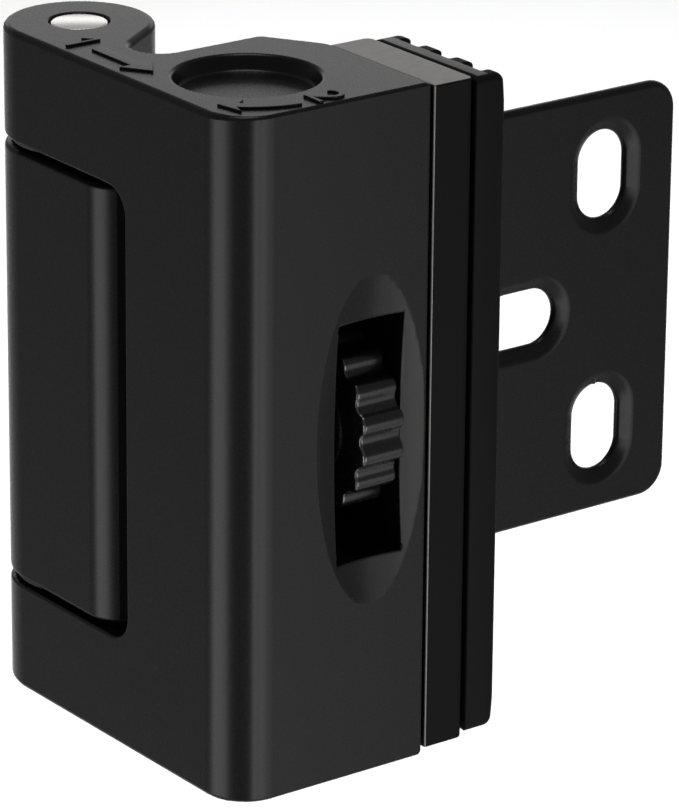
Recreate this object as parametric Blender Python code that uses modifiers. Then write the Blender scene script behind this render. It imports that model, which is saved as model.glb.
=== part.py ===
# Door reinforcement lock: a lock body that swings on a slotted jamb bracket.
# Metres, +Z up. The origin lies on the bracket's jamb face, midway between its two upright screw slots.
# +X runs from the jamb face out over the door, +Y from the room towards the door.

import math

import bmesh
import bpy
from mathutils import Matrix, Vector

# Lock body, closed over the door
BODY_HEIGHT = 0.0760
BODY_DEPTH = 0.0252
BLOCK_WIDTH = 0.0196
BODY_CORNER = 0.0052
BODY_BACK_CORNER = 0.0005
RIM_ROUND = 0.0004
KNUCKLE_RADIUS = 0.00815
PIN_TO_BLOCK = 0.02035
ARM_STEP = 0.00495
ARM_BEVEL_X = 0.00665
ARM_BEVEL_Y = 0.00433
ARM_BACK_ROUND = 0.0030
ARM_SIDE_ROUND = 0.0012
NECK_FILLET = 0.0031
NECK_ANGLE = 35
WINDOW_CORNER = 0.0030
DISH_RADIUS = 0.0081
DISH_DEPTH = 0.0020
DISH_FROM_SIDE = 0.0130
DISH_FROM_FRONT = 0.0110

# Jamb bracket: barrel block, leg and slotted plate in one
BRACKET_HEIGHT = 0.0498
BRACKET_REACH = 0.0757
LEG_THICKNESS = 0.0016
LEG_GAP = 0.0006
BRACKET_CORNER = 0.0050
PLATE_CORNER = 0.0035
KNUCKLE_GAP = 0.0007
SLOT_ROW_REACH = 0.0657
SLOT_RISE = 0.0151
SLOT_WIDTH = 0.0066
SLOT_LENGTH = 0.0103
MIDDLE_SLOT_SETBACK = 0.0116
SINK_RIM = 0.0015
SINK_DEPTH = 0.0008

# Hinge pin, its washers and its sliding fit in the bracket's barrel
PIN_RADIUS = 0.00315
PIN_CHAMFER = 0.0003
PIN_INSET = 0.0001
PIN_FIT = 0.00015
PIN_PLAY = 0.00015
PIN_TRAVEL = 0.0050
WASHER_RADIUS = 0.0074
WASHER_THICKNESS = 0.0004

# Spring plungers, springs and stop screws, one set above and one below the middle
SPRING_RISE = 0.0120
PLUNGER_RADIUS = 0.0032
PLUNGER_LENGTH = 0.0050
PLUNGER_HEAD = 0.0015
PLUNGER_WALL = 0.0006
PLUNGER_FIT = 0.0002
SEAT_GAP = 0.0002
SPRING_RADIUS = 0.0020
SPRING_WIRE = 0.0003
SPRING_TURNS = 7
SPRING_STEPS = 10
STOP_LENGTH = 0.0030
STOP_INSET = 0.0003
SOCKET_RADIUS = 0.0019
SOCKET_DEPTH = 0.0016

# Thumb wheel, its pocket and the scoop around the pocket's mouth
POCKET_BACK_WALL = 0.00305
POCKET_DEPTH = 0.0085
POCKET_HEIGHT = 0.0268
SCOOP_WIDTH = 0.0143
SCOOP_HEIGHT = 0.0374
SCOOP_DEPTH = 0.00114
SCOOP_BALL = 0.0040
WHEEL_RADIUS = 0.0103
WHEEL_PROUD = 0.0010
WHEEL_WIDTH = 0.00535
WHEEL_EDGE = 0.0003
WHEEL_LOBES = 16
LOBE_DEPTH = 0.0007
LOBE_POINTS = 8
HUB_RADIUS = 0.0060
HUB_STEP = 0.00035
BOSS_RADIUS = 0.0046
SIDE_PLAY = 0.0003
WHEEL_WASHER_THICKNESS = 0.0005
INSERT_RADIUS = 0.0038
INSERT_INSET = 0.0003
PRESS_FIT = 0.0001

# Spindle and guide pins that carry the pad
SPINDLE_RADIUS = 0.0030
SPINDLE_LENGTH = 0.0206
SPINDLE_TIP = 0.0005
THREAD_FIT = 0.0002
SPINDLE_PLAY = 0.0004
SPINDLE_TIP_PLAY = 0.0010
HEAD_RADIUS = 0.0052
HEAD_THICKNESS = 0.0020
HEAD_COVER = 0.0002
HEAD_PLAY = 0.0002
GUIDE_RADIUS = 0.0020
GUIDE_LENGTH = 0.0195
GUIDE_FROM_END = 0.0130
GUIDE_SEAT = 0.0030
GUIDE_FIT = 0.00015
GUIDE_TIP_PLAY = 0.0010
BUSH_WALL = 0.0008
BUSH_LENGTH = 0.0100
BUSH_INSET = 0.0002

# Pad carrier and ribbed door pad
CARRIER_THICKNESS = 0.0053
CARRIER_WIDTH = 0.01835
CARRIER_SIDE_INSET = 0.00025
CARRIER_END_INSET = 0.00055
CARRIER_GAP = 0.00055
CARRIER_ROUND = 0.0005
PAD_GAP = 0.0004
PAD_BASE = 0.0020
PAD_WIDTH = 0.0181
PAD_SIDE_INSET = 0.0002
PAD_END_INSET = 0.0002
RIB_COUNT = 4
RIB_WIDTH = 0.0019
RIB_HEIGHT = 0.0020
RIB_ROUND = 0.0006

# Cutters run this far past what they cut, and joined shapes reach this far into each other
OVERRUN = 0.0010
ARC_STEP = 9
RING_STEPS = 40
SMOOTH_ANGLE = 35
FLAT_ANGLE = 0.1

# Places that follow from the sizes above
BLOCK_X = LEG_THICKNESS + LEG_GAP
SIDE_X = BLOCK_X + BLOCK_WIDTH
PIN_X = BLOCK_X - PIN_TO_BLOCK
ARM_X = BLOCK_X - ARM_STEP
FRONT_Y = -SLOT_ROW_REACH
PIN_Y = FRONT_Y + KNUCKLE_RADIUS
BODY_BACK_Y = FRONT_Y + BODY_DEPTH
BLOCK_BACK_Y = FRONT_Y + 2 * KNUCKLE_RADIUS
PLATE_END_Y = FRONT_Y + BRACKET_REACH
BODY_TOP = BODY_HEIGHT / 2
BRACKET_TOP = BRACKET_HEIGHT / 2
WINDOW_TOP = BRACKET_TOP + KNUCKLE_GAP
BARREL_BORE = PLUNGER_RADIUS + PLUNGER_FIT
PIN_SLOT_RADIUS = PIN_RADIUS + PIN_PLAY
POCKET_BACK_Y = BODY_BACK_Y - POCKET_BACK_WALL
POCKET_FRONT_Y = POCKET_BACK_Y - POCKET_DEPTH
POCKET_TOP = POCKET_HEIGHT / 2
SCOOP_Y = (POCKET_FRONT_Y + POCKET_BACK_Y) / 2
WHEEL_X = SIDE_X + WHEEL_PROUD - WHEEL_RADIUS
WHEEL_BACK_Y = POCKET_BACK_Y - SIDE_PLAY
WHEEL_FRONT_Y = WHEEL_BACK_Y - WHEEL_WIDTH
HUB_Y = WHEEL_FRONT_Y - HUB_STEP
WHEEL_WASHER_Y = POCKET_FRONT_Y + SIDE_PLAY
BOSS_Y = WHEEL_WASHER_Y + WHEEL_WASHER_THICKNESS + SEAT_GAP
INSERT_BORE = SPINDLE_RADIUS + THREAD_FIT
CARRIER_FRONT_Y = BODY_BACK_Y + CARRIER_GAP
CARRIER_BACK_Y = CARRIER_FRONT_Y + CARRIER_THICKNESS
CARRIER_SIDE_X = SIDE_X - CARRIER_SIDE_INSET
CARRIER_TOP = BODY_TOP - CARRIER_END_INSET
HEAD_Y = CARRIER_BACK_Y - HEAD_COVER - HEAD_THICKNESS
SPINDLE_TIP_Y = HEAD_Y - SPINDLE_LENGTH
GUIDE_RISE = BODY_TOP - GUIDE_FROM_END
GUIDE_BACK_Y = CARRIER_FRONT_Y + GUIDE_SEAT
GUIDE_TIP_Y = GUIDE_BACK_Y - GUIDE_LENGTH
BUSH_BORE = GUIDE_RADIUS + GUIDE_FIT
BUSH_RADIUS = BUSH_BORE + BUSH_WALL
BUSH_BACK_Y = BODY_BACK_Y - BUSH_INSET
PAD_SIDE_X = CARRIER_SIDE_X - PAD_SIDE_INSET
PAD_TOP = CARRIER_TOP - PAD_END_INSET
PAD_FRONT_Y = CARRIER_BACK_Y + PAD_GAP
PAD_RIB_Y = PAD_FRONT_Y + PAD_BASE
PAD_BACK_Y = PAD_RIB_Y + RIB_HEIGHT
STOP_X = LEG_THICKNESS - STOP_INSET
PLUNGER_X = PIN_X + PIN_RADIUS + SEAT_GAP

# Directions for shapes drawn flat and drawn out: local X, local Y
FLAT_XY = (Vector((1, 0, 0)), Vector((0, 1, 0)))
FLAT_YZ = (Vector((0, 1, 0)), Vector((0, 0, 1)))
FLAT_ZX = (Vector((0, 0, 1)), Vector((1, 0, 0)))

BLACK_COAT = ("black_coat", (0.018, 0.018, 0.019), 0.42, 0.0)
BLACK_CARRIER = ("black_carrier", (0.020, 0.020, 0.020), 0.50, 0.0)
BLACK_WHEEL = ("black_wheel", (0.012, 0.012, 0.012), 0.22, 0.0)
BLACK_RUBBER = ("black_rubber", (0.016, 0.016, 0.016), 0.75, 0.0)
BLACK_NYLON = ("black_nylon", (0.030, 0.030, 0.030), 0.50, 0.0)
BRIGHT_STEEL = ("bright_steel", (0.80, 0.79, 0.78), 0.22, 1.0)
DARK_STEEL = ("dark_steel", (0.20, 0.20, 0.21), 0.40, 1.0)
BRASS = ("brass", (0.72, 0.55, 0.28), 0.30, 1.0)


def clear_scene():
    for obj in list(bpy.data.objects):
        bpy.data.objects.remove(obj, do_unlink=True)


def collection(name):
    made = bpy.data.collections.new(name)
    bpy.context.scene.collection.children.link(made)
    return made


def material(finish):
    name, colour, roughness, metallic = finish
    made = bpy.data.materials.get(name)
    if made is None:
        made = bpy.data.materials.new(name)
        made.use_nodes = True
        shader = made.node_tree.nodes["Principled BSDF"]
        shader.inputs["Base Color"].default_value = (*colour, 1.0)
        shader.inputs["Roughness"].default_value = roughness
        shader.inputs["Metallic"].default_value = metallic
    return made


clear_scene()
PARTS = collection("door_reinforcement_lock")
HELPERS = collection("cutters")


def keep(obj, finish=None):
    # A piece with a finish is part of the lock. One without is a cutter or a shape to be joined.
    home = PARTS if finish else HELPERS
    for old in list(obj.users_collection):
        old.objects.unlink(obj)
    home.objects.link(obj)
    if finish:
        obj.data.materials.append(material(finish))
    else:
        obj.hide_render = True
        obj.display_type = "WIRE"
    if obj.type == "MESH":
        obj.data.shade_smooth()
        obj.data.set_sharp_from_angle(angle=math.radians(SMOOTH_ANGLE))
    return obj


def mesh_object(name, bm, finish=None):
    mesh = bpy.data.meshes.new(name)
    bmesh.ops.recalc_face_normals(bm, faces=bm.faces)
    bm.to_mesh(mesh)
    bm.free()
    return keep(bpy.data.objects.new(name, mesh), finish)


def box(name, low, high, finish=None):
    low, high = Vector(low), Vector(high)
    size = Matrix.Diagonal((*(high - low), 1))
    bm = bmesh.new()
    bmesh.ops.create_cube(bm, size=1, matrix=Matrix.Translation((low + high) / 2) @ size)
    return mesh_object(name, bm, finish)


def facing(axes, origin):
    # The matrix that turns local X and Y to the two given directions.
    x_axis, y_axis = axes
    turn = Matrix((x_axis, y_axis, x_axis.cross(y_axis))).transposed().to_4x4()
    return Matrix.Translation(origin) @ turn


def arc(centre, radius, start, end):
    # Points round a circle, from one angle to another in degrees.
    steps = max(1, math.ceil(abs(end - start) / ARC_STEP))
    points = []
    for i in range(steps + 1):
        angle = math.radians(start + (end - start) * i / steps)
        points.append((centre[0] + radius * math.cos(angle), centre[1] + radius * math.sin(angle)))
    return points


def rounded(before, corner, after, radius):
    # The arc that rounds one corner of an outline.
    before, corner, after = Vector(before), Vector(corner), Vector(after)
    back = (before - corner).normalized()
    on = (after - corner).normalized()
    half = back.angle(on) / 2
    centre = corner + (back + on).normalized() * (radius / math.sin(half))
    start = corner + back * (radius / math.tan(half)) - centre
    end = corner + on * (radius / math.tan(half)) - centre
    first = math.degrees(math.atan2(start.y, start.x))
    turn = math.degrees(math.atan2(start.x * end.y - start.y * end.x, start.dot(end)))
    return arc(centre, radius, first, first + turn)


def prism(name, outline, thickness, axes, origin, finish=None):
    # A flat outline drawn out by its thickness. The origin is in the middle of the thickness.
    curve = bpy.data.curves.new(name, "CURVE")
    curve.dimensions = "2D"
    curve.fill_mode = "BOTH"
    curve.extrude = thickness / 2
    spline = curve.splines.new("POLY")
    spline.points.add(len(outline) - 1)
    for point, (x, y) in zip(spline.points, outline):
        point.co = (x, y, 0, 1)
    spline.use_cyclic_u = True
    drawn = bpy.data.objects.new(name, curve)
    HELPERS.objects.link(drawn)
    drawn.matrix_world = facing(axes, origin)
    bpy.context.view_layer.update()
    graph = bpy.context.evaluated_depsgraph_get()
    mesh = bpy.data.meshes.new_from_object(drawn.evaluated_get(graph))
    mesh.transform(drawn.matrix_world)
    bpy.data.objects.remove(drawn, do_unlink=True)
    bm = bmesh.new()
    bm.from_mesh(mesh)
    bpy.data.meshes.remove(mesh)
    bmesh.ops.remove_doubles(bm, verts=bm.verts, dist=OVERRUN / 1000)
    bmesh.ops.dissolve_limit(bm, angle_limit=math.radians(FLAT_ANGLE), verts=bm.verts, edges=bm.edges)
    return mesh_object(name, bm, finish)


def loft(name, rings, finish=None):
    # A closed solid through rings that have the same number of points.
    bm = bmesh.new()
    rows = [[bm.verts.new(point) for point in ring] for ring in rings]
    for first, second in zip(rows, rows[1:]):
        for i in range(len(first)):
            j = (i + 1) % len(first)
            bm.faces.new((first[i], first[j], second[j], second[i]))
    bm.faces.new(reversed(rows[0]))
    bm.faces.new(rows[-1])
    return mesh_object(name, bm, finish)


def turned(name, profile, direction, origin, finish=None):
    # A turned piece. The profile is (radius, height) down its outer side, and heights run along direction.
    mesh = bpy.data.meshes.new(name)
    closed = profile[0][0] > 0
    edges = [(i, i + 1) for i in range(len(profile) - 1)]
    if closed:
        edges.append((len(profile) - 1, 0))
    mesh.from_pydata([(radius, 0, height) for radius, height in profile], edges, [])
    obj = keep(bpy.data.objects.new(name, mesh), finish)
    obj.location = origin
    obj.rotation_euler = Vector(direction).to_track_quat("Z", "Y").to_euler()
    screw = obj.modifiers.new("Turn", "SCREW")
    screw.axis = "Z"
    screw.steps = RING_STEPS
    screw.render_steps = RING_STEPS
    screw.use_merge_vertices = True
    screw.merge_threshold = OVERRUN / 1000
    screw.use_smooth_shade = True
    return obj


def rod(name, radius, start, end, finish=None):
    # A plain round bar or bore between two points.
    length = (Vector(end) - Vector(start)).length
    profile = [(0, length), (radius, length), (radius, 0), (0, 0)]
    return turned(name, profile, Vector(end) - Vector(start), start, finish)


def ring(name, inner, outer, start, end, finish=None):
    length = (Vector(end) - Vector(start)).length
    profile = [(outer, length), (outer, 0), (inner, 0), (inner, length)]
    return turned(name, profile, Vector(end) - Vector(start), start, finish)


def boolean(target, other, operation):
    step = target.modifiers.new(other.name, "BOOLEAN")
    step.operation = operation
    step.solver = "EXACT"
    step.object = other


def cut(target, *cutters):
    for cutter in cutters:
        boolean(target, cutter, "DIFFERENCE")


def fuse(target, *others):
    for other in others:
        boolean(target, other, "UNION")


def round_edges(obj, width, segments, limit=SMOOTH_ANGLE):
    step = obj.modifiers.new("Round", "BEVEL")
    step.width = width
    step.segments = segments
    step.limit_method = "ANGLE"
    step.angle_limit = math.radians(limit)


def obround(half_width, half_length):
    # A slot outline, long along its second coordinate.
    reach = half_length - half_width
    return arc((0, reach), half_width, 0, 180) + arc((0, -reach), half_width, 180, 360)


def hexagon(radius):
    return [(radius * math.cos(k * math.pi / 3), radius * math.sin(k * math.pi / 3)) for k in range(6)]


def corner_cutter(name, radius, thickness, axes, origin):
    # What lies outside a round edge whose sharp corner is at the origin, pointing along both axes.
    curve = arc((-radius, -radius), radius, 0, 90)
    outline = curve + [(-radius, OVERRUN), (OVERRUN, OVERRUN), (OVERRUN, -radius)]
    return prism(name, outline, thickness, axes, origin)


def axis_empty(name, location, parent=None):
    empty = bpy.data.objects.new(name, None)
    empty.location = location
    PARTS.objects.link(empty)
    attach(empty, parent)
    return empty


def attach(obj, parent):
    # Hangs a piece on its joint's empty and leaves it where it is.
    bpy.context.view_layer.update()
    if parent:
        obj.parent = parent
        obj.matrix_parent_inverse = parent.matrix_world.inverted()


def pairs():
    return (("upper", 1), ("lower", -1))


def body_outline():
    corner = (SIDE_X - BODY_CORNER, FRONT_Y + BODY_CORNER)
    back_corner = (SIDE_X - BODY_BACK_CORNER, BODY_BACK_Y - BODY_BACK_CORNER)
    bevel_start = (ARM_X + ARM_BEVEL_X, BODY_BACK_Y)
    bevel_end = (ARM_X, BODY_BACK_Y - ARM_BEVEL_Y)
    neck = math.radians(NECK_ANGLE)
    fillet_x = ARM_X - NECK_FILLET
    reach = KNUCKLE_RADIUS + NECK_FILLET - (fillet_x - PIN_X) * math.cos(neck)
    fillet = (fillet_x, PIN_Y + reach / math.sin(neck))
    outline = arc(corner, BODY_CORNER, -90, 0)
    outline += arc(back_corner, BODY_BACK_CORNER, 0, 90)
    outline += rounded(back_corner[:1] + (BODY_BACK_Y,), bevel_start, bevel_end, ARM_BACK_ROUND)
    outline += rounded(bevel_start, bevel_end, (ARM_X, fillet[1]), ARM_SIDE_ROUND)
    outline += arc(fillet, NECK_FILLET, 0, NECK_ANGLE - 180)
    outline += arc((PIN_X, PIN_Y), KNUCKLE_RADIUS, NECK_ANGLE, 270)
    return outline


def window_cutter():
    # The opening between the arms, which takes the bracket's barrel block.
    left = PIN_X - KNUCKLE_RADIUS - OVERRUN
    high = WINDOW_TOP - WINDOW_CORNER
    right = BLOCK_X - WINDOW_CORNER
    outline = [(left, -WINDOW_TOP)] + arc((right, -high), WINDOW_CORNER, -90, 0)
    outline += arc((right, high), WINDOW_CORNER, 0, 90) + [(left, WINDOW_TOP)]
    swapped = [(z, x) for x, z in outline]
    middle = (0, (FRONT_Y + BODY_BACK_Y) / 2, 0)
    return prism("body_window", swapped, BODY_DEPTH + 2 * OVERRUN, FLAT_ZX, middle)


def scoop_cutter():
    # A flattened ball whose slice through the side face is the scoop's oval rim.
    offset = SCOOP_BALL - SCOOP_DEPTH
    slice_share = math.sqrt(1 - (offset / SCOOP_BALL) ** 2)
    size = Matrix.Diagonal((SCOOP_BALL, SCOOP_WIDTH / 2 / slice_share, SCOOP_HEIGHT / 2 / slice_share, 1))
    bm = bmesh.new()
    place = Matrix.Translation((SIDE_X + offset, SCOOP_Y, 0)) @ size
    bmesh.ops.create_uvsphere(bm, u_segments=2 * RING_STEPS, v_segments=RING_STEPS, radius=1, matrix=place)
    return mesh_object("scoop", bm)


def make_lock_body(parent):
    body = prism("lock_body", body_outline(), BODY_HEIGHT, FLAT_XY, (0, 0, 0), BLACK_COAT)
    round_edges(body, RIM_ROUND, 2, 60)
    cut(body, window_cutter(), scoop_cutter())
    pocket_low = (BLOCK_X - OVERRUN, POCKET_FRONT_Y, -POCKET_TOP)
    pocket_high = (SIDE_X + OVERRUN, POCKET_BACK_Y, POCKET_TOP)
    dish_x, dish_y = SIDE_X - DISH_FROM_SIDE, FRONT_Y + DISH_FROM_FRONT
    dish_floor, dish_top = (dish_x, dish_y, BODY_TOP - DISH_DEPTH), (dish_x, dish_y, BODY_TOP + OVERRUN)
    bore_low = (PIN_X, PIN_Y, -BODY_TOP - OVERRUN)
    bore_high = (PIN_X, PIN_Y, BODY_TOP + OVERRUN)
    spindle_low = (WHEEL_X, SPINDLE_TIP_Y - SPINDLE_TIP_PLAY, 0)
    spindle_high = (WHEEL_X, BODY_BACK_Y + OVERRUN, 0)
    cut(
        body,
        box("wheel_pocket", pocket_low, pocket_high),
        rod("thumb_dish", DISH_RADIUS, dish_floor, dish_top),
        rod("pin_bore", PIN_RADIUS + PIN_FIT, bore_low, bore_high),
        rod("spindle_bore", SPINDLE_RADIUS + SPINDLE_PLAY, spindle_low, spindle_high),
    )
    for side, sign in pairs():
        rise = sign * GUIDE_RISE
        deep = (WHEEL_X, GUIDE_TIP_Y - GUIDE_TIP_PLAY, rise)
        mouth = (WHEEL_X, BODY_BACK_Y + OVERRUN, rise)
        cut(body, rod(f"guide_bore_{side}", BUSH_RADIUS + PRESS_FIT, deep, mouth))
    attach(body, parent)


def slot_cutter(name, centre_y, centre_z, turned_flat):
    # A slot through the plate, with a sunk rim on the side that the screw head is on.
    slope = SINK_RIM / SINK_DEPTH
    depths = (
        (-OVERRUN, 0),
        (LEG_THICKNESS - SINK_DEPTH, 0),
        (LEG_THICKNESS + OVERRUN, SINK_RIM + OVERRUN * slope),
    )
    rings = []
    for x, grow in depths:
        outline = obround(SLOT_WIDTH / 2 + grow, SLOT_LENGTH / 2 + grow)
        if turned_flat:
            outline = [(-b, a) for a, b in outline]
        rings.append([(x, centre_y + a, centre_z + b) for a, b in outline])
    return loft(name, rings)


def bracket_outline():
    corner = (LEG_THICKNESS - BRACKET_CORNER, FRONT_Y + BRACKET_CORNER)
    outline = arc(corner, BRACKET_CORNER, -90, 0)
    outline += [(LEG_THICKNESS, PLATE_END_Y), (0, PLATE_END_Y), (0, BLOCK_BACK_Y)]
    outline += arc((PIN_X, PIN_Y), KNUCKLE_RADIUS, 90, 270)
    return outline


def make_bracket():
    bracket = prism("base_bracket", bracket_outline(), BRACKET_HEIGHT, FLAT_XY, (0, 0, 0), BLACK_COAT)
    round_edges(bracket, RIM_ROUND, 2, 60)
    slot_middle = PIN_X + PIN_TRAVEL / 2
    half = PIN_TRAVEL / 2 + PIN_SLOT_RADIUS
    across = [(b, a) for a, b in obround(PIN_SLOT_RADIUS, half)][::-1]
    cut(
        bracket,
        prism("pin_slot", across, BRACKET_HEIGHT + 2 * OVERRUN, FLAT_XY, (slot_middle, PIN_Y, 0)),
        slot_cutter("screw_slot_upper", 0, SLOT_RISE, False),
        slot_cutter("screw_slot_lower", 0, -SLOT_RISE, False),
        slot_cutter("screw_slot_middle", -MIDDLE_SLOT_SETBACK, 0, True),
    )
    edge_radius = WINDOW_CORNER - LEG_GAP
    relief = BODY_DEPTH + CARRIER_GAP + CARRIER_THICKNESS
    for side, sign in pairs():
        up = Vector((0, 0, sign))
        plate_axes = (Vector((0, 1, 0)), up)
        end = (LEG_THICKNESS / 2, PLATE_END_Y, sign * BRACKET_TOP)
        across_plate = LEG_THICKNESS + 2 * OVERRUN
        cut(bracket, corner_cutter(f"plate_corner_{side}", PLATE_CORNER, across_plate, plate_axes, end))
        edge = (LEG_THICKNESS, FRONT_Y + (relief - OVERRUN) / 2, sign * BRACKET_TOP)
        edge_axes = (Vector((1, 0, 0)), up)
        cut(bracket, corner_cutter(f"leg_edge_{side}", edge_radius, relief + OVERRUN, edge_axes, edge))
        rise = sign * SPRING_RISE
        inner = (PIN_X, PIN_Y, rise)
        mouth = (LEG_THICKNESS + OVERRUN, PIN_Y, rise)
        cut(bracket, rod(f"spring_bore_{side}", BARREL_BORE, inner, mouth))


def make_pin(parent):
    half = BODY_TOP - PIN_INSET
    neck = PIN_RADIUS - PIN_CHAMFER
    profile = [
        (0, half),
        (neck, half),
        (PIN_RADIUS, half - PIN_CHAMFER),
        (PIN_RADIUS, PIN_CHAMFER - half),
        (neck, -half),
        (0, -half),
    ]
    attach(turned("hinge_pin", profile, (0, 0, 1), (PIN_X, PIN_Y, 0), BRIGHT_STEEL), parent)


def make_washers(parent):
    middle = BRACKET_TOP + KNUCKLE_GAP / 2
    for side, sign in pairs():
        low = (PIN_X, PIN_Y, sign * middle - WASHER_THICKNESS / 2)
        high = (PIN_X, PIN_Y, sign * middle + WASHER_THICKNESS / 2)
        name = f"thrust_washer_{side}"
        attach(ring(name, PIN_RADIUS + PIN_FIT, WASHER_RADIUS, low, high, BLACK_NYLON), parent)


def make_plungers(parent):
    bore = PLUNGER_RADIUS - PLUNGER_WALL
    profile = [
        (0, PLUNGER_LENGTH),
        (PLUNGER_RADIUS, PLUNGER_LENGTH),
        (PLUNGER_RADIUS, 0),
        (bore, 0),
        (bore, PLUNGER_LENGTH - PLUNGER_HEAD),
        (0, PLUNGER_LENGTH - PLUNGER_HEAD),
    ]
    for side, sign in pairs():
        back = (PLUNGER_X + PLUNGER_LENGTH, PIN_Y, sign * SPRING_RISE)
        plunger = turned(f"spring_plunger_{side}", profile, (-1, 0, 0), back, BRASS)
        attach(plunger, parent)


def make_springs():
    start = PLUNGER_X + PLUNGER_HEAD + SEAT_GAP + SPRING_WIRE
    end = STOP_X - STOP_LENGTH - SEAT_GAP - SPRING_WIRE
    steps = SPRING_TURNS * SPRING_STEPS
    for side, sign in pairs():
        curve = bpy.data.curves.new(f"return_spring_{side}", "CURVE")
        curve.dimensions = "3D"
        curve.bevel_depth = SPRING_WIRE
        curve.bevel_resolution = 1
        curve.use_fill_caps = True
        spline = curve.splines.new("POLY")
        spline.points.add(steps)
        for i, point in enumerate(spline.points):
            angle = 2 * math.pi * SPRING_TURNS * i / steps
            along = start + (end - start) * i / steps
            y = PIN_Y + SPRING_RADIUS * math.cos(angle)
            z = sign * SPRING_RISE + SPRING_RADIUS * math.sin(angle)
            point.co = (along, y, z, 1)
        keep(bpy.data.objects.new(f"return_spring_{side}", curve), DARK_STEEL)


def make_stop_screws():
    for side, sign in pairs():
        rise = sign * SPRING_RISE
        inner = (STOP_X - STOP_LENGTH, PIN_Y, rise)
        outer = (STOP_X, PIN_Y, rise)
        screw = rod(f"stop_screw_{side}", PLUNGER_RADIUS, inner, outer, DARK_STEEL)
        depth = SOCKET_DEPTH + OVERRUN
        middle = (STOP_X - SOCKET_DEPTH + depth / 2, PIN_Y, rise)
        cut(screw, prism(f"hex_socket_{side}", hexagon(SOCKET_RADIUS), depth, FLAT_YZ, middle))


def wheel_outline():
    # Round lobes with valleys as round between them.
    points = []
    count = WHEEL_LOBES * LOBE_POINTS
    for i in range(count):
        angle = 2 * math.pi * i / count
        valley_share = math.cos(WHEEL_LOBES * angle / 2) ** 2
        radius = WHEEL_RADIUS - LOBE_DEPTH * valley_share
        points.append((radius * math.cos(angle), radius * math.sin(angle)))
    return points


def make_wheel(parent):
    middle = (WHEEL_X, (WHEEL_FRONT_Y + WHEEL_BACK_Y) / 2, 0)
    wheel = prism("adjuster_wheel", wheel_outline(), WHEEL_WIDTH, FLAT_ZX, middle, BLACK_WHEEL)
    round_edges(wheel, WHEEL_EDGE, 2, 60)
    front, step = WHEEL_FRONT_Y + OVERRUN - BOSS_Y, WHEEL_FRONT_Y + OVERRUN - HUB_Y
    boss = [(0, front), (BOSS_RADIUS, front), (BOSS_RADIUS, step)]
    hub = boss + [(HUB_RADIUS, step), (HUB_RADIUS, 0), (0, 0)]
    fuse(wheel, turned("wheel_hub", hub, (0, -1, 0), (WHEEL_X, WHEEL_FRONT_Y + OVERRUN, 0)))
    bore_front = (WHEEL_X, BOSS_Y - OVERRUN, 0)
    bore_back = (WHEEL_X, WHEEL_BACK_Y + OVERRUN, 0)
    cut(wheel, rod("insert_bore", INSERT_RADIUS + PRESS_FIT, bore_front, bore_back))
    attach(wheel, parent)


def make_wheel_parts(parent):
    front = (WHEEL_X, BOSS_Y + INSERT_INSET, 0)
    back = (WHEEL_X, WHEEL_BACK_Y - INSERT_INSET, 0)
    attach(ring("threaded_insert", INSERT_BORE, INSERT_RADIUS, front, back, BRASS), parent)
    front = (WHEEL_X, WHEEL_WASHER_Y, 0)
    back = (WHEEL_X, WHEEL_WASHER_Y + WHEEL_WASHER_THICKNESS, 0)
    attach(ring("wheel_washer", INSERT_BORE, BOSS_RADIUS, front, back, DARK_STEEL), parent)


def make_guides(body, pad):
    for side, sign in pairs():
        rise = sign * GUIDE_RISE
        front = (WHEEL_X, BUSH_BACK_Y - BUSH_LENGTH, rise)
        back = (WHEEL_X, BUSH_BACK_Y, rise)
        attach(ring(f"guide_bush_{side}", BUSH_BORE, BUSH_RADIUS, front, back, BLACK_NYLON), body)
        tip = (WHEEL_X, GUIDE_TIP_Y, rise)
        seat = (WHEEL_X, GUIDE_BACK_Y, rise)
        attach(rod(f"guide_pin_{side}", GUIDE_RADIUS, tip, seat, BRIGHT_STEEL), pad)


def hexagon_head(name, radius, front_y, back_y):
    middle = (WHEEL_X, (front_y + back_y) / 2, 0)
    return prism(name, hexagon(radius), back_y - front_y, FLAT_ZX, middle)


def make_spindle(parent):
    end = SPINDLE_RADIUS - SPINDLE_TIP
    length = SPINDLE_LENGTH + HEAD_THICKNESS / 2
    profile = [(0, length), (SPINDLE_RADIUS, length), (SPINDLE_RADIUS, SPINDLE_TIP), (end, 0), (0, 0)]
    spindle = turned("adjuster_spindle", profile, (0, 1, 0), (WHEEL_X, SPINDLE_TIP_Y, 0), BRIGHT_STEEL)
    fuse(spindle, hexagon_head("spindle_head", HEAD_RADIUS, HEAD_Y, HEAD_Y + HEAD_THICKNESS))
    attach(spindle, parent)


def make_carrier(parent):
    low = (CARRIER_SIDE_X - CARRIER_WIDTH, CARRIER_FRONT_Y, -CARRIER_TOP)
    high = (CARRIER_SIDE_X, CARRIER_BACK_Y, CARRIER_TOP)
    carrier = box("pad_carrier", low, high, BLACK_CARRIER)
    round_edges(carrier, CARRIER_ROUND, 2)
    front = (WHEEL_X, CARRIER_FRONT_Y - OVERRUN, 0)
    back = (WHEEL_X, CARRIER_BACK_Y, 0)
    recess_radius = HEAD_RADIUS + HEAD_PLAY
    recess = hexagon_head("head_recess", recess_radius, HEAD_Y - HEAD_PLAY, CARRIER_BACK_Y + OVERRUN)
    cut(carrier, rod("spindle_hole", SPINDLE_RADIUS + PRESS_FIT, front, back), recess)
    for side, sign in pairs():
        rise = sign * GUIDE_RISE
        mouth = (WHEEL_X, CARRIER_FRONT_Y - OVERRUN, rise)
        floor = (WHEEL_X, GUIDE_BACK_Y + PRESS_FIT, rise)
        cut(carrier, rod(f"guide_seat_{side}", GUIDE_RADIUS + PRESS_FIT, mouth, floor))
    attach(carrier, parent)


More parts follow.
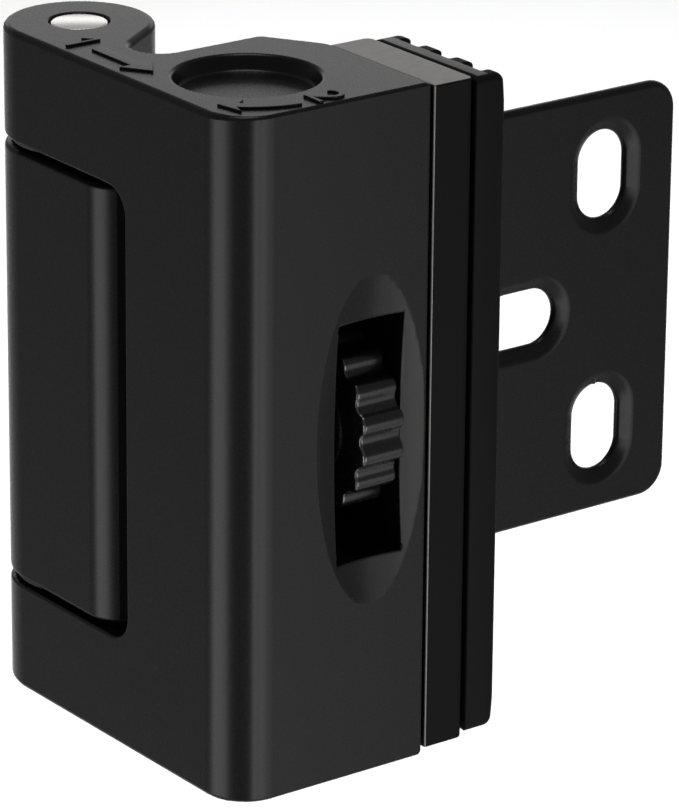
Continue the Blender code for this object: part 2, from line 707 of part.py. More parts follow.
def pad_outline():
    # The pad's section, seen from above: a flat base with round-topped ribs towards the door.
    left = PAD_SIDE_X - PAD_WIDTH
    pitch = (PAD_WIDTH - RIB_WIDTH) / (RIB_COUNT - 1)
    outline = [(left, PAD_FRONT_Y), (PAD_SIDE_X, PAD_FRONT_Y)]
    for k in reversed(range(RIB_COUNT)):
        low = left + k * pitch
        high = low + RIB_WIDTH
        centre_y = PAD_BACK_Y - RIB_ROUND
        if k < RIB_COUNT - 1:
            outline.append((high, PAD_RIB_Y))
        outline += arc((high - RIB_ROUND, centre_y), RIB_ROUND, 0, 90)
        outline += arc((low + RIB_ROUND, centre_y), RIB_ROUND, 90, 180)
        if k > 0:
            outline.append((low, PAD_RIB_Y))
    return outline


def make_pad(parent):
    pad = prism("door_pad", pad_outline(), 2 * PAD_TOP, FLAT_XY, (0, 0, 0), BLACK_RUBBER)
    attach(pad, parent)


def main():
    pin = (PIN_X, PIN_Y, 0)
    make_bracket()
    make_stop_screws()
    make_springs()
    pull = axis_empty("pull_slide", pin)
    make_plungers(pull)
    make_washers(pull)
    swing = axis_empty("swing_axis", pin, pull)
    make_lock_body(swing)
    make_pin(swing)
    wheel = axis_empty("wheel_axis", (WHEEL_X, WHEEL_FRONT_Y, 0), swing)
    make_wheel(wheel)
    make_wheel_parts(wheel)
    pad = axis_empty("pad_slide", (WHEEL_X, CARRIER_FRONT_Y, 0), swing)
    make_guides(swing, pad)
    make_spindle(pad)
    make_carrier(pad)
    make_pad(pad)


main()
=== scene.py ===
import math

import bpy
from mathutils import Matrix, Vector


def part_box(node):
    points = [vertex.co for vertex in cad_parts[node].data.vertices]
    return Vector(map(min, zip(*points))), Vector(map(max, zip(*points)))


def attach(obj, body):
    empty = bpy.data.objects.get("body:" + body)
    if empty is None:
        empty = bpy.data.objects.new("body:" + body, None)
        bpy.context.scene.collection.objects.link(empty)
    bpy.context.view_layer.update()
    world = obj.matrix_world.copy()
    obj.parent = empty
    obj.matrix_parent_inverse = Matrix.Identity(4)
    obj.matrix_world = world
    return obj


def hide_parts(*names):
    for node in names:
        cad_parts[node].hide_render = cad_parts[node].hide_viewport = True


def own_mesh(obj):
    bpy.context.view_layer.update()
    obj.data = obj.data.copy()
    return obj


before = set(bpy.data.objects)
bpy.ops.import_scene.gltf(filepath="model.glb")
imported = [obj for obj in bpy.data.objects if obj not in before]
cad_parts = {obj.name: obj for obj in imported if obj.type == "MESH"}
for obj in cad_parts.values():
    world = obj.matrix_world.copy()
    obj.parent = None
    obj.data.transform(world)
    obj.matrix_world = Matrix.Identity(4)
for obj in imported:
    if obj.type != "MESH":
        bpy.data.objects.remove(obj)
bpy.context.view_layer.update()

# Door reinforcement lock: the fine shapes and the finishes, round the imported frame.
# Sizes in the dictionaries are millimetres, angles are degrees.
mm = 0.001
close = 0.1      # how near a face, an edge or a corner lies to the place where it is looked for
overrun = 1      # how far a cutting tool runs out of the piece that it cuts


# working by hand: selecting, drawing and finishing

def selectNone():
    if bpy.context.mode != "OBJECT":
        bpy.ops.object.mode_set(mode="OBJECT")
    bpy.ops.object.select_all(action="DESELECT")


def onlySelect(obj):
    selectNone()
    obj.select_set(True)
    bpy.context.view_layer.objects.active = obj


def pick(obj, kind, test):
    # leaves the object in edit mode with the faces, edges or corners that pass the test selected
    bpy.ops.object.mode_set(mode="EDIT")
    bpy.ops.mesh.select_mode(type=kind)
    bpy.ops.mesh.select_all(action="DESELECT")
    bpy.ops.object.mode_set(mode="OBJECT")
    mesh = obj.data
    if kind == "FACE":
        for face in mesh.polygons:
            face.select = test(face.center / mm, face.normal)
    elif kind == "EDGE":
        for edge in mesh.edges:
            one, two = (mesh.vertices[i].co / mm for i in edge.vertices)
            edge.select = test((one + two) / 2, (two - one).normalized())
    else:
        for corner in mesh.vertices:
            corner.select = test(corner.co / mm)
    bpy.ops.object.mode_set(mode="EDIT")


def pickAll(obj, kind="FACE"):
    bpy.ops.object.mode_set(mode="EDIT")
    bpy.ops.mesh.select_mode(type=kind)
    bpy.ops.mesh.select_all(action="SELECT")


def nameIt(name):
    obj = bpy.context.object
    obj.name = name
    obj.data.name = name
    return obj


def settle():
    # the picked object's place, turn and scale go into its mesh, so that its origin is the frame's
    bpy.ops.object.transform_apply(location=True, rotation=True, scale=True)


def pen(name, x, y):
    # one corner to draw an outline from
    selectNone()
    bpy.ops.mesh.primitive_plane_add(size=mm, location=(0, 0, 0))
    obj = nameIt(name)
    pickAll(obj, "VERT")
    bpy.ops.mesh.merge(type="CENTER")
    bpy.ops.mesh.select_all(action="SELECT")
    bpy.ops.transform.translate(value=(x * mm, y * mm, 0))
    return obj


def penLine(dx, dy):
    bpy.ops.mesh.extrude_region_move(TRANSFORM_OT_translate={"value": (dx * mm, dy * mm, 0)})


def penArc(centre, turn, step=3):
    # spin turns clockwise for a positive angle here, so the sign is changed
    bpy.ops.mesh.spin(steps=max(2, round(abs(turn) / step)), angle=-math.radians(turn),
                      center=(centre[0] * mm, centre[1] * mm, 0), axis=(0, 0, 1))


def penClose(obj):
    # joins the outline's last corner to its first and fills it
    pickAll(obj, "VERT")
    bpy.ops.mesh.remove_doubles(threshold=mm / 1000)
    bpy.ops.mesh.select_all(action="SELECT")
    bpy.ops.mesh.edge_face_add()


def roundCorner(obj, x, y, offset, segments=10):
    # rounds the corner of a flat outline that lies at x, y
    pick(obj, "VERT", lambda co: abs(co.x - x) < close / 5 and abs(co.y - y) < close / 5)
    bpy.ops.mesh.bevel(affect="VERTICES", offset=offset * mm, segments=segments)


def roundEdges(obj, offset, segments, test, kind="EDGE"):
    # rounds the edges, or the rims of the faces, that pass the test
    pick(obj, kind, test)
    bpy.ops.mesh.bevel(offset=offset * mm, segments=segments)
    bpy.ops.object.mode_set(mode="OBJECT")


def drawUp(obj, low, high):
    # a flat outline at z = 0 drawn out to a solid between two heights
    pickAll(obj)
    bpy.ops.transform.translate(value=(0, 0, low * mm))
    bpy.ops.mesh.extrude_region_move(TRANSFORM_OT_translate={"value": (0, 0, (high - low) * mm)})
    bpy.ops.mesh.select_all(action="SELECT")
    bpy.ops.mesh.normals_make_consistent(inside=False)
    bpy.ops.object.mode_set(mode="OBJECT")


def block(name, low, high):
    # a box between two corners
    selectNone()
    low, high = Vector(low) * mm, Vector(high) * mm
    bpy.ops.mesh.primitive_cube_add(size=1, location=(low + high) / 2, scale=high - low)
    settle()
    return nameIt(name)


def roundBar(name, radius, low, high, sides=96, radiusTwo=None):
    # a round bar, or a cone where a second radius is given, between two points
    selectNone()
    low, high = Vector(low) * mm, Vector(high) * mm
    turn = (high - low).to_track_quat("Z", "Y").to_euler()
    bpy.ops.mesh.primitive_cone_add(vertices=sides, radius1=radius * mm, depth=(high - low).length,
                                    radius2=(radius if radiusTwo is None else radiusTwo) * mm,
                                    location=(low + high) / 2, rotation=turn)
    settle()
    return nameIt(name)


def applyAll(obj):
    onlySelect(obj)
    for step in list(obj.modifiers):
        bpy.ops.object.modifier_apply(modifier=step.name)


def carve(obj, *tools, operation="DIFFERENCE"):
    for tool in tools:
        step = obj.modifiers.new(tool.name, "BOOLEAN")
        step.operation = operation
        step.solver = "EXACT"
        step.object = tool
    applyAll(obj)
    for tool in tools:
        bpy.data.objects.remove(tool, do_unlink=True)


def tidyMesh(obj, flatness=0.3):
    # welds the cut edges and clears the edges between faces that lie flat to each other
    pickAll(obj, "VERT")
    bpy.ops.mesh.remove_doubles(threshold=mm / 500)
    bpy.ops.mesh.select_all(action="SELECT")
    bpy.ops.mesh.dissolve_limited(angle_limit=math.radians(flatness))
    bpy.ops.object.mode_set(mode="OBJECT")


def softEdges(obj, width, segments=4, limit=30, shade=32, finer=(), clamp=False):
    # rounds every edge sharper than the limit; where a test in finer holds, to that share of the width
    pickAll(obj, "EDGE")
    bpy.ops.mesh.select_all(action="DESELECT")
    bpy.ops.mesh.edges_select_sharp(sharpness=math.radians(limit))
    bpy.ops.transform.edge_bevelweight(value=1.0)
    for test, share in finer:
        pick(obj, "EDGE", test)
        bpy.ops.transform.edge_bevelweight(value=share - 1.0)
    bpy.ops.object.mode_set(mode="OBJECT")
    step = obj.modifiers.new("soft edges", "BEVEL")
    step.width = width * mm
    step.segments = segments
    step.limit_method = "WEIGHT"
    step.use_clamp_overlap = clamp
    applyAll(obj)
    bpy.ops.object.shade_smooth_by_angle(angle=math.radians(shade))
    flat = obj.modifiers.new("flat faces stay flat", "WEIGHTED_NORMAL")
    flat.keep_sharp = True
    flat.weight = 100
    applyAll(obj)


def graded(start, stop, shares, test, steps=6):
    # steps between two shares of the width, for edges that lie between two places along X
    first, last = shares
    made = []
    for k in range(steps):
        low = start + (stop - start) * k / steps
        high = start + (stop - start) * (k + 1) / steps
        made.append((lambda co, way, low=low, high=high: low <= co.x < high and test(co, way),
                     first + (last - first) * (k + 0.5) / steps))
    return tuple(made)


def finishPiece(obj, body, slot, material, *nodes):
    # gives a finished piece its material and ties it to its body in the frame, in the place of the nodes
    # given
    obj.data.materials.clear()
    obj.data.materials.append(material)
    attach(obj, body)
    if nodes:
        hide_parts(*nodes)


def secondFinish(obj, material, test):
    # gives the faces that pass the test a finish of their own
    obj.data.materials.append(material)
    onlySelect(obj)
    pick(obj, "FACE", test)
    obj.active_material_index = len(obj.data.materials) - 1
    bpy.ops.object.material_slot_assign()
    bpy.ops.object.mode_set(mode="OBJECT")


# colours and node work

def linear(hexColour):
    # sRGB hex to the linear values that Blender's sockets take
    channels = [int(hexColour[i:i + 2], 16) / 255 for i in (1, 3, 5)]
    return [c / 12.92 if c <= 0.04045 else ((c + 0.055) / 1.055) ** 2.4 for c in channels] + [1.0]


def addNode(material, kind, settings=None, **inputs):
    # adds one node; an input is a value, or a (node, output) pair to link from, and i6 means socket 6
    made = material.node_tree.nodes.new(kind)
    for key, value in (settings or {}).items():
        setattr(made, key, value)
    for key, value in inputs.items():
        socket = made.inputs[int(key[1:])] if key[1:].isdigit() else made.inputs[key.replace("_", " ")]
        if isinstance(value, tuple) and isinstance(value[0], bpy.types.Node):
            material.node_tree.links.new(value[0].outputs[value[1]], socket)
        else:
            socket.default_value = value
    return made


def newFinish(name, colour, roughness, metallic=0.0, specular=0.5):
    made = bpy.data.materials.new(name)
    made.use_nodes = True
    shader = made.node_tree.nodes["Principled BSDF"]
    shader.inputs["Base Color"].default_value = linear(colour)
    shader.inputs["Roughness"].default_value = roughness
    shader.inputs["Metallic"].default_value = metallic
    shader.inputs["Specular IOR Level"].default_value = specular
    return made, shader


def grain(material, shader, size, depth, colours, roughnesses, stretch=(1, 1, 1)):
    # a noise of the given grain size in mm that lifts the surface, shifts its colour and its gloss
    places = addNode(material, "ShaderNodeTexCoord")
    mapped = addNode(material, "ShaderNodeMapping", Vector=(places, "Object"), Scale=stretch)
    noise = addNode(material, "ShaderNodeTexNoise", Vector=(mapped, "Vector"),
                    Scale=1 / (size * mm), Detail=3, Roughness=0.55)
    bump = addNode(material, "ShaderNodeBump", Height=(noise, "Fac"), Distance=depth * mm, Strength=1.0)
    material.node_tree.links.new(bump.outputs["Normal"], shader.inputs["Normal"])
    # sockets 0, 6 and 7 of the mix are its factor and its two colours, and output 2 is the mixed colour
    blend = addNode(material, "ShaderNodeMix", {"data_type": "RGBA"}, i0=(noise, "Fac"),
                    i6=linear(colours[0]), i7=linear(colours[1]))
    material.node_tree.links.new(blend.outputs[2], shader.inputs["Base Color"])
    # the noise hardly ever leaves 0.3 to 0.7
    spread = addNode(material, "ShaderNodeMapRange", Value=(noise, "Fac"), From_Min=0.3, From_Max=0.7,
                     To_Min=roughnesses[0], To_Max=roughnesses[1])
    material.node_tree.links.new(spread.outputs["Result"], shader.inputs["Roughness"])


# satin powder coat over a zinc casting: deep grey-black, a soft even sheen and a faint orange peel
def makePowderCoat():
    made, shader = newFinish("satin powder coat on cast zinc", "#0e0d0d", 0.27, specular=0.12)
    grain(made, shader, 0.22, 0.0008, ("#0b0a0a", "#121010"), (0.25, 0.29))
    return made


# painted shade: the same coat, darker and duller, put where shade falls down in the recess and deep in the
# window
def makePaintedShadeCoat():
    made, shader = newFinish("powder coat darkened for painted shade", "#040404", 0.7, specular=0.03)
    grain(made, shader, 0.3, 0.004, ("#030303", "#060606"), (0.6, 0.8))
    return made


# black anodised aluminium, extruded: a little smoother, with draw lines along its length
def makeAnodised():
    made, shader = newFinish("black anodised extruded aluminium", "#0a0a0b", 0.38, specular=0.04)
    grain(made, shader, 0.16, 0.0008, ("#080809", "#0d0d0e"), (0.34, 0.42), stretch=(1, 1, 0.06))
    return made


# the same bar where it was sawn: fine saw streaks from front to back, and a lighter grey that paints the
# sheen these faces show at a low angle
def makeSawnEndAndPaintedSheen():
    made, shader = newFinish("black anodised aluminium, sawn end with painted sheen", "#4a4745", 0.38, specular=1.0)
    grain(made, shader, 0.20, 0.008, ("#3e3b39", "#575350"), (0.32, 0.44), stretch=(1, 0.12, 1))
    return made


# moulded nitrile rubber: dull, slightly mottled black
def makeRubber():
    made, shader = newFinish("moulded black rubber", "#0a0a0a", 0.55, specular=0.05)
    grain(made, shader, 0.25, 0.004, ("#080808", "#0d0d0d"), (0.48, 0.62))
    return made


# the same rubber where the moulding was cut to length: smoother, and a lighter grey that paints the sheen
# these ends show at a low angle
def makeCutRubberWithPaintedSheen():
    made, shader = newFinish("black rubber, cut end with painted sheen", "#2c2b2a", 0.42, specular=0.75)
    grain(made, shader, 0.25, 0.006, ("#242322", "#343331"), (0.38, 0.48))
    return made


# injection moulded ABS: black with a satin gloss
def makeAbs():
    made, shader = newFinish("moulded ABS", "#0a0a0a", 0.27, specular=0.3)
    grain(made, shader, 0.6, 0.0008, ("#080808", "#0d0d0d"), (0.24, 0.31))
    return made


# the same plastic along the wheel's front edge, where thumbs have polished it: small bright glints
def makePolishedAbs():
    made, shader = newFinish("moulded ABS, polished edge", "#0a0a0a", 0.15, specular=1.0)
    grain(made, shader, 0.6, 0.0004, ("#080808", "#0d0d0d"), (0.13, 0.18))
    return made


# moulded nylon: dull grey-black, as washers and bushes are
def makeNylon():
    made, shader = newFinish("moulded black nylon", "#2b2b2c", 0.5, specular=0.35)
    grain(made, shader, 0.3, 0.003, ("#262627", "#313132"), (0.45, 0.58))
    return made


# ground steel: bright and even, with the faint blur of a fine grind
def makeGroundSteel():
    made, shader = newFinish("ground steel", "#f4f2ee", 0.25, metallic=1.0)
    grain(made, shader, 0.12, 0.0002, ("#eeece8", "#f9f7f3"), (0.22, 0.28))
    return made


# blackened steel: dark grey oxide over metal
def makeBlackenedSteel():
    made, shader = newFinish("blackened steel", "#55565a", 0.38, metallic=1.0)
    grain(made, shader, 0.15, 0.002, ("#4a4b4f", "#606166"), (0.32, 0.46))
    return made


# turned brass: warm yellow, with fine marks of the tool
def makeBrass():
    made, shader = newFinish("turned brass", "#c9a45c", 0.28, metallic=1.0)
    grain(made, shader, 0.12, 0.0015, ("#bd9850", "#d3af68"), (0.22, 0.36))
    return made


powderCoat = makePowderCoat()
paintedShadeCoat = makePaintedShadeCoat()
anodised = makeAnodised()
sawnEndAndPaintedSheen = makeSawnEndAndPaintedSheen()
rubber = makeRubber()
cutRubberWithPaintedSheen = makeCutRubberWithPaintedSheen()
satinAbs = makeAbs()
polishedAbs = makePolishedAbs()
nylon = makeNylon()
groundSteel = makeGroundSteel()
blackenedSteel = makeBlackenedSteel()
brass = makeBrass()
print("finishes made")


# lock body: one casting with two arms, each ending in a knuckle round the hinge pin
bodyShape = {
    "knuckleRadius": 8.15,
    "nearCorner": 5.2,
    "blockFrom": 2.2,          # the block's inner wall
    "armFrom": -2.75,          # where the arms step back behind the barrel
    "armBevel": (6.65, 4.33),
    "armRounds": (0.9, 0.6),   # where the bevel meets the block's back, and where it meets the arm
    "neckFillet": 3.1,
    "neckAngle": 35,
    "pin": (-18.15, -57.55),
    "pinBore": 3.3,
    "windowTop": 25.6,
    "windowCorner": 3.0,
    "windowShadeFrom": 0.3,          # how far in from the window's front edge the painted shade starts
    "dish": (8.8, -54.7, 7.85, 1.75),       # middle x, y, radius at the rim, depth
    "dishFloor": 7.3,
    "pocket": (-52.05, -43.55, 13.4),       # front, back, half height
    "scoop": (7.15, 18.7, 1.14, 4.0),       # half width, half height, depth, radius it is a slice of
    "scoopMiddle": 4,                       # inside this the pocket's mouth has no edge to round
    "wheelX": 12.5,
    "spindleBore": (3.4, -58.8),            # radius and front end
    "guideBore": (3.05, -59.6),
    "guideRise": 25,                        # the guide pins' height above and below the middle
    "softEdge": 0.7,
    "recessEdge": 0.08,
}


def makeLockBody():
    s = bodyShape
    low, high = (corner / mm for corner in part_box("lock_body"))
    side, front, back, top = high.x, low.y, high.y, high.z
    px, py = s["pin"]
    bx, by = s["armBevel"]
    near = s["nearCorner"]
    neck = math.radians(s["neckAngle"])
    filletX = s["armFrom"] - s["neckFillet"]
    reach = s["knuckleRadius"] + s["neckFillet"] - (filletX - px) * math.cos(neck)
    filletY = py + reach / math.sin(neck)
    body = pen("lock_body_casting", px, front)
    penLine(side - near - px, 0)
    penArc((side - near, front + near), 90, 2)
    penLine(0, back - front - near)
    penLine(s["armFrom"] + bx - side, 0)
    penLine(-bx, -by)
    penLine(0, filletY - back + by)
    penArc((filletX, filletY), s["neckAngle"] - 180, 3)
    # the straight neck between the fillet and the knuckle, along their common tangent
    penLine(px - filletX + (s["knuckleRadius"] + s["neckFillet"]) * math.cos(neck),
            py - filletY + (s["knuckleRadius"] + s["neckFillet"]) * math.sin(neck))
    penArc((px, py), 270 - s["neckAngle"], 3)
    penClose(body)
    blockRound, armRound = s["armRounds"]
    roundCorner(body, s["armFrom"] + bx, back, blockRound)
    roundCorner(body, s["armFrom"], back - by, armRound)
    drawUp(body, -top, top)

    window = block("window tool", (px - s["knuckleRadius"] - overrun, front - overrun, -s["windowTop"]),
                   (s["blockFrom"], back + overrun, s["windowTop"]))
    roundEdges(window, s["windowCorner"], 16, lambda co, way: abs(way.y) > 0.9 and co.x > 0)

    dishX, dishY, dishRadius, dishDepth = s["dish"]
    slope = (dishRadius - s["dishFloor"]) / dishDepth
    dish = roundBar("dish tool", s["dishFloor"], (dishX, dishY, top - dishDepth),
                    (dishX, dishY, top + overrun), 144, dishRadius + slope * overrun)
    bore = roundBar("pin bore tool", s["pinBore"], (px, py, -top - overrun), (px, py, top + overrun))
    carve(body, window, dish, bore)
    tidyMesh(body)

    knuckleEnd = px + 1
    besideDish = dishRadius + 1

    def onDish(co, way):
        return co.z > top - dishDepth - close and math.hypot(co.x - dishX, co.y - dishY) < dishRadius + close

    def onBore(co, way):
        return math.hypot(co.x - px, co.y - py) < s["pinBore"] + close

    def onWindow(co, way):
        return co.x < s["blockFrom"] + close and abs(co.z) < s["windowTop"] + close and not onBore(co, way)

    def onWindowStraight(co, way):
        return co.x >= knuckleEnd and onWindow(co, way)

    def onSideTop(co, way):
        return co.x > side - close and abs(co.z) > top - close and co.y < back - close

    def onBack(co, way):
        return co.x > 0 and co.y > back - close and abs(way.z) > 0.9

    def onCornerTop(co, way):
        offDish = math.hypot(co.x - dishX, co.y - dishY) > besideDish
        return offDish and abs(co.z) > top - close and co.y < front + near + close / 2

    # the edges get finer from the knuckle to the window, and round the near corner to the side
    knuckle = graded(px - s["knuckleRadius"], knuckleEnd, (1.0, 0.4), onWindow)
    corner = graded(side - near, side - close, (1.0, 0.55), onCornerTop)
    softEdges(body, s["softEdge"], limit=7.2, finer=((onDish, 0.5), (onBore, 0.3), (onWindowStraight, 0.4),
                                                     (onBack, 0.5), (onSideTop, 0.55)) + knuckle + corner)

    halfWidth, halfHeight, depth, ball = s["scoop"]
    pocketFront, pocketBack, pocketTop = s["pocket"]
    pocketMiddle = (pocketFront + pocketBack) / 2
    # the ball is stretched until the slice that the side cuts off has the scoop's width and height
    share = math.sqrt(1 - ((ball - depth) / ball) ** 2)
    bpy.ops.object.select_all(action="DESELECT")
    bpy.ops.mesh.primitive_uv_sphere_add(segments=128, ring_count=64, radius=mm, location=(0, 0, 0))
    scoop = nameIt("scoop tool")
    pickAll(scoop)
    bpy.ops.transform.resize(value=(ball, halfWidth / share, halfHeight / share))
    bpy.ops.transform.translate(value=((side + ball - depth) * mm, pocketMiddle * mm, 0))
    bpy.ops.object.mode_set(mode="OBJECT")
    pocket = block("pocket tool", (s["blockFrom"] - overrun, pocketFront, -pocketTop),
                   (side + overrun, pocketBack, pocketTop))
    x = s["wheelX"]
    radius, boreFront = s["spindleBore"]
    spindle = roundBar("spindle tool", radius, (x, boreFront, 0), (x, back + overrun, 0), 64)
    carve(body, scoop, pocket, spindle)
    radius, boreFront = s["guideBore"]
    for rise in (-s["guideRise"], s["guideRise"]):
        carve(body, roundBar("guide tool", radius, (x, boreFront, rise), (x, back + overrun, rise), 64))

    def awayFromPocket(co, way):
        return not (pocketFront - close < co.y < pocketBack + close and abs(co.z) < pocketTop + close
                    and (abs(co.y - pocketMiddle) > s["scoopMiddle"] or abs(co.z) > pocketTop - close))

    softEdges(body, s["recessEdge"], segments=2, limit=30, finer=((awayFromPocket, 0),))
    finishPiece(body, "body", "black_coat", powderCoat, "lock_body")

    def inPocket(co, normal):
        return (s["blockFrom"] + close < co.x < side - depth - close and abs(co.z) < pocketTop + close
                and pocketFront - close < co.y < pocketBack + close)

    def inWindow(co, normal):
        return (px < co.x < s["blockFrom"] + close and abs(co.z) < s["windowTop"] + close
                and (abs(normal.z) > 0.9 or normal.x < -0.9) and co.y > front + s["windowShadeFrom"])

    # painted shade: the pocket's walls and the window's walls get the darker, duller coat where shade falls
    secondFinish(body, paintedShadeCoat, lambda co, normal: inPocket(co, normal) or inWindow(co, normal))
    return body


lockBody = makeLockBody()
print("lock body made:", len(lockBody.data.polygons), "faces")


# raised marks on the top: 1 with an arrow for the pull, 2 with an arrow for the turn
marksShape = {
    "rise": 0.25,
    "sink": 0.1,
    "textSize": 5.9,
    "one": (-10.75, -64.3, 4.2, 0.5),      # foot x, y, height, stroke
    "oneFlag": (-1.25, -1.15, 0.55),       # reach x, y, stroke
    "two": (18.25, -54.55),
    "twoWide": 1.1,
    "arrow": (-7.8, -62.2, 10.4, 0.75, 2.15, 3.2),    # tail x, y, length, half shaft, half head, head length
    # the turned arrow lies on a circle round the dish's middle; the angles are counted from +X
    "turnRadius": 11.4,
    "turnFrom": -7.7,
    "turnTo": -40.3,
    "turnHalf": (0.7, 2.05),               # half shaft and half head
    "turnBarb": -37.75,
    "turnTip": -51.3,
    "softEdge": 0.09,
}


def makeMarks():
    s = marksShape
    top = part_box("lock_body")[1].z / mm
    low, high = top - s["sink"], top + s["rise"]
    made = []
    x, y, height, stroke = s["one"]
    flagX, flagY, flagStroke = s["oneFlag"]
    one = pen("raised_mark_1", x, y)
    penLine(stroke, 0)
    penLine(0, height)
    penLine(-stroke, 0)
    penLine(flagX, flagY)
    penLine(flagStroke * 0.5, -flagStroke * 0.7)
    penLine(-flagX - flagStroke * 0.5, -flagY * 0.8)
    penClose(one)
    drawUp(one, low, high)
    softEdges(one, s["softEdge"], segments=2, clamp=True)
    made.append(one)

    x, y = s["two"]
    bpy.ops.object.select_all(action="DESELECT")
    bpy.ops.object.text_add(location=(x * mm, y * mm, (low + high) / 2 * mm))
    text = bpy.context.object
    text.data.body = "2"
    text.data.size = s["textSize"] * mm
    text.data.bevel_depth = s["softEdge"] * mm
    text.data.offset = -s["softEdge"] * mm
    text.data.extrude = ((high - low) / 2 - s["softEdge"]) * mm
    text.scale = (s["twoWide"], 1, 1)
    bpy.ops.object.convert(target="MESH")
    settle()
    made.append(nameIt("raised_mark_2"))

    x, y, length, halfShaft, halfHead, headLength = s["arrow"]
    pull = pen("raised_arrow_pull", x, y - halfShaft)
    penLine(length - headLength, 0)
    penLine(0, halfShaft - halfHead)
    penLine(headLength, halfHead)
    penLine(-headLength, halfHead)
    penLine(0, halfShaft - halfHead)
    penLine(headLength - length, 0)
    penClose(pull)
    drawUp(pull, low, high)
    softEdges(pull, s["softEdge"], segments=2, clamp=True)
    made.append(pull)

    centre = Vector(bodyShape["dish"][:2])

    def onCircle(radius, angle):
        return centre + Vector((math.cos(math.radians(angle)), math.sin(math.radians(angle)))) * radius

    halfBar, halfTurnHead = s["turnHalf"]
    middle, start, stop = s["turnRadius"], s["turnFrom"], s["turnTo"]
    spots = [onCircle(middle + halfBar, start), onCircle(middle + halfBar, stop),
             onCircle(middle + halfTurnHead, s["turnBarb"]), onCircle(middle, s["turnTip"]),
             onCircle(middle - halfTurnHead, s["turnBarb"]), onCircle(middle - halfBar, stop)]
    turn = pen("raised_arrow_turn", *spots[0])
    penArc(centre, stop - start, 2)
    for here, there in zip(spots[1:], spots[2:]):
        penLine(*(there - here))
    penArc(centre, start - stop, 2)
    penClose(turn)
    drawUp(turn, low, high)
    softEdges(turn, s["softEdge"], segments=2, clamp=True)
    made.append(turn)
    for mark in made:
        finishPiece(mark, "body", "black_coat", powderCoat)


makeMarks()
print("raised marks made")


def pullApart(obj, axis, middle, shift):
    # moves the two halves of a round shape apart along one axis, so that it becomes a slot
    onlySelect(obj)
    for sign in (1, -1):
        pick(obj, "VERT", lambda co: (co[axis] - middle) * sign > 0.001)
        move = [0, 0, 0]
        move[axis] = sign * shift * mm
        bpy.ops.transform.translate(value=move)
    bpy.ops.object.mode_set(mode="OBJECT")


# jamb bracket: barrel block, leg and slotted plate, cast in one and coated
bracketShape = {
    "barrelRadius": 8.15,
    "thickness": 1.6,
    "frontCorner": 4.6,
    "cornerFrom": -5.1,
    "cornerTurn": 50,
    "slopeRound": 1.0,
    "finerFrom": 4,                  # the block's top and bottom edges are finer from here, beyond the pin
    "legEdge": 2.4,                  # the radius of the leg's long edges, and where that rounding ends
    "legEdgeEnd": -34.95,
    "plateFrom": -24.95,             # every screw slot lies beyond this
    "plateCorner": 3.5,
    "pinSlot": (3.3, 5.0),           # radius and travel
    "springBore": (3.4, 12.0),       # radius and height above the middle
    "screwSlots": ((0, 15.1, 2), (0, -15.1, 2), (-11.6, 0, 1)),   # y, z, long axis
    "slotRadius": 3.3,
    "slotReach": 1.85,               # how far a slot's two round ends lie from its middle
    "sink": (1.5, 0.8),              # width of the sunk rim and its depth
    "shadedWallsTo": -48.95,              # the painted shade on the block's walls ends before this
    "shadedWallsTurn": (0.755, 0.4),      # how far a shaded wall's face looks sideways, or up or down, to take the painted shade
    "softEdge": 0.7,
}


